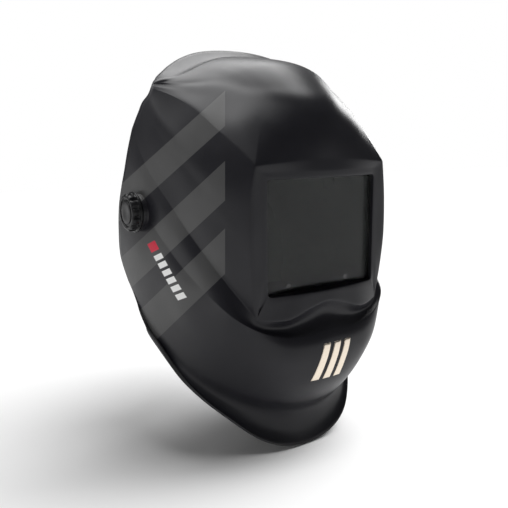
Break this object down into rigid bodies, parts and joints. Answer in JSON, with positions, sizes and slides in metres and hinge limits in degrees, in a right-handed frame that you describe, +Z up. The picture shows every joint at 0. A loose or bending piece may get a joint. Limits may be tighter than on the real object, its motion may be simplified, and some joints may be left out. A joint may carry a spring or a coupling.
{
  "type": "welding helmet",
  "caption": "Black auto-darkening welding helmet with faceted shell, framed rectangular window, side tilt knobs and ratchet headgear.",
  "frame": {"origin": "middle of the axis through the two tilt pivots, at the wearer's temples", "axes": "+Z up as worn, -Y the way the face looks, +X the wearer's left; X is the symmetry and tilt axis"},
  "size_m": [0.2292, 0.2735, 0.3522],
  "materials": {
    "shell_black": "black injection-moulded shell, fine satin texture",
    "badge": "champagne metallic",
    "cover_clear": "clear polycarbonate plate, glossy",
    "rubber_black": "matt",
    "case_black": "fine texture",
    "filter_green": "dark mirror-polished filter",
    "lcd_dark": "polished",
    "solar_cell": "dark violet, glossy",
    "sensor_dark": "glossy",
    "board_green": "solder resist",
    "inner_clear": "clear polycarbonate plate",
    "dial_grey": "fine texture",
    "button_red": "glossy",
    "switch_grey": "fine texture",
    "steel_bright": "bright nickel plate",
    "steel_plain": "turned",
    "band_black": "polyethylene, slight sheen",
    "cloth_black": "knitted, matt",
    "knob_black": "glossy",
    "brass": "turned",
    "fibre": "pressed fibre",
    "rack_white": "acetal"
  },
  "bodies": {
    "headgear": {"headband": "band_black", "sweatband": "cloth_black", "temple_plate_left": "band_black", "temple_plate_right": "band_black", "crown_strap_left": "band_black", "crown_strap_right": "band_black", "crown_pegs": "band_black", "crown_strap_rear": "band_black", "band_rivets": "steel_plain"},
    "rear_unit": {"rear_strap": "band_black", "rear_pad": "cloth_black", "ratchet_housing": "band_black", "ratchet_cover": "band_black"},
    "ratchet_wheel": {"ratchet_knob": "knob_black", "ratchet_pinion": "rack_white"},
    "rack_left": {"rack_left": "rack_white"},
    "rack_right": {"rack_right": "rack_white"},
    "carriages": {"carriage_left": "band_black", "carriage_right": "band_black", "pivot_stud_left": "steel_plain", "pivot_stud_right": "steel_plain", "spacer_disc": "band_black", "friction_washer_left": "fibre", "friction_washer_right": "fibre"},
    "tilt_lever": {"tilt_lever": "band_black"},
    "knob_left": {"knob_left": "knob_black", "knob_insert_left": "brass", "knob_washer_left": "steel_plain"},
    "knob_right": {"knob_right": "knob_black", "knob_insert_right": "brass", "knob_washer_right": "steel_plain"},
    "shell": {"shell": "shell_black", "chin_badge": "badge", "outer_cover_lens": "cover_clear", "lens_gasket": "rubber_black", "adf_case_front": "case_black", "filter_glass": "filter_green", "solar_strip": "solar_cell", "arc_sensors": "sensor_dark", "circuit_board": "board_green", "lcd_cell": "lcd_dark", "adf_case_back": "case_black", "inner_cover_lens": "inner_clear", "retainer_frame": "case_black"},
    "shade_dial": {"shade_dial": "dial_grey"},
    "sensitivity_dial": {"sensitivity_dial": "dial_grey"},
    "delay_dial": {"delay_dial": "dial_grey"},
    "test_button": {"test_button": "button_red"},
    "mode_switch": {"mode_switch": "switch_grey"},
    "battery_drawer": {"battery_drawer": "case_black", "coin_cell": "steel_bright"},
    "latch_left": {"latch_left": "dial_grey"},
    "latch_right": {"latch_right": "dial_grey"}
  },
  "joints": [
    {"name": "carriage_slide", "type": "slide", "parent": "headgear", "child": "carriages", "axis": [0, 1, 0], "range_m": [-0.008, 0.008]},
    {"name": "shell_tilt", "type": "hinge", "parent": "carriages", "child": "shell", "pos_m": [0, 0, 0], "axis": [-1, 0, 0], "range_deg": [0, 75]},
    {"name": "knob_left_turn", "type": "hinge", "parent": "carriages", "child": "knob_left", "pos_m": [0.11, 0, 0], "axis": [1, 0, 0], "range_deg": [0, 300]},
    {"name": "knob_right_turn", "type": "hinge", "parent": "carriages", "child": "knob_right", "pos_m": [-0.11, 0, 0], "axis": [-1, 0, 0], "range_deg": [0, 300]},
    {"name": "tilt_lever_turn", "type": "hinge", "parent": "carriages", "child": "tilt_lever", "pos_m": [-0.094, 0, 0], "axis": [1, 0, 0], "range_deg": [-15, 15]},
    {"name": "rear_unit_slide", "type": "slide", "parent": "headgear", "child": "rear_unit", "axis": [0, -1, 0], "range_m": [0, 0.012]},
    {"name": "ratchet_turn", "type": "hinge", "parent": "rear_unit", "child": "ratchet_wheel", "pos_m": [0, 0.125, -0.024], "axis": [0, 1, 0], "range_deg": [0, 99]},
    {"name": "rack_left_slide", "type": "slide", "parent": "rear_unit", "child": "rack_left", "axis": [1, 0, 0], "range_m": [0, 0.0121]},
    {"name": "rack_right_slide", "type": "slide", "parent": "rear_unit", "child": "rack_right", "axis": [-1, 0, 0], "range_m": [0, 0.0121]},
    {"name": "shade_dial_turn", "type": "hinge", "parent": "shell", "child": "shade_dial", "pos_m": [-0.038, -0.10311, -0.06036], "axis": [0, 0.9976, 0.0698], "range_deg": [0, 270]},
    {"name": "sensitivity_dial_turn", "type": "hinge", "parent": "shell", "child": "sensitivity_dial", "pos_m": [-0.018, -0.10311, -0.06036], "axis": [0, 0.9976, 0.0698], "range_deg": [0, 270]},
    {"name": "delay_dial_turn", "type": "hinge", "parent": "shell", "child": "delay_dial", "pos_m": [0.002, -0.10311, -0.06036], "axis": [0, 0.9976, 0.0698], "range_deg": [0, 270]},
    {"name": "test_button_press", "type": "slide", "parent": "shell", "child": "test_button", "axis": [0, -0.9976, -0.0698], "range_m": [0, 0.0008], "stiffness_N_per_m": 300},
    {"name": "mode_switch_slide", "type": "slide", "parent": "shell", "child": "mode_switch", "axis": [1, 0, 0], "range_m": [0, 0.006]},
    {"name": "battery_drawer_slide", "type": "slide", "parent": "shell", "child": "battery_drawer", "axis": [1, 0, 0], "range_m": [0, 0.008]},
    {"name": "latch_left_slide", "type": "slide", "parent": "shell", "child": "latch_left", "axis": [1, 0, 0], "range_m": [0, 0.002]},
    {"name": "latch_right_slide", "type": "slide", "parent": "shell", "child": "latch_right", "axis": [-1, 0, 0], "range_m": [0, 0.002]}
  ],
  "couplings": [
    {"joint": "ratchet_turn", "follows": "rear_unit_slide", "rad_per_m": 142.86},
    {"joint": "rack_left_slide", "follows": "rear_unit_slide", "ratio": 1},
    {"joint": "rack_right_slide", "follows": "rear_unit_slide", "ratio": 1}
  ]
}
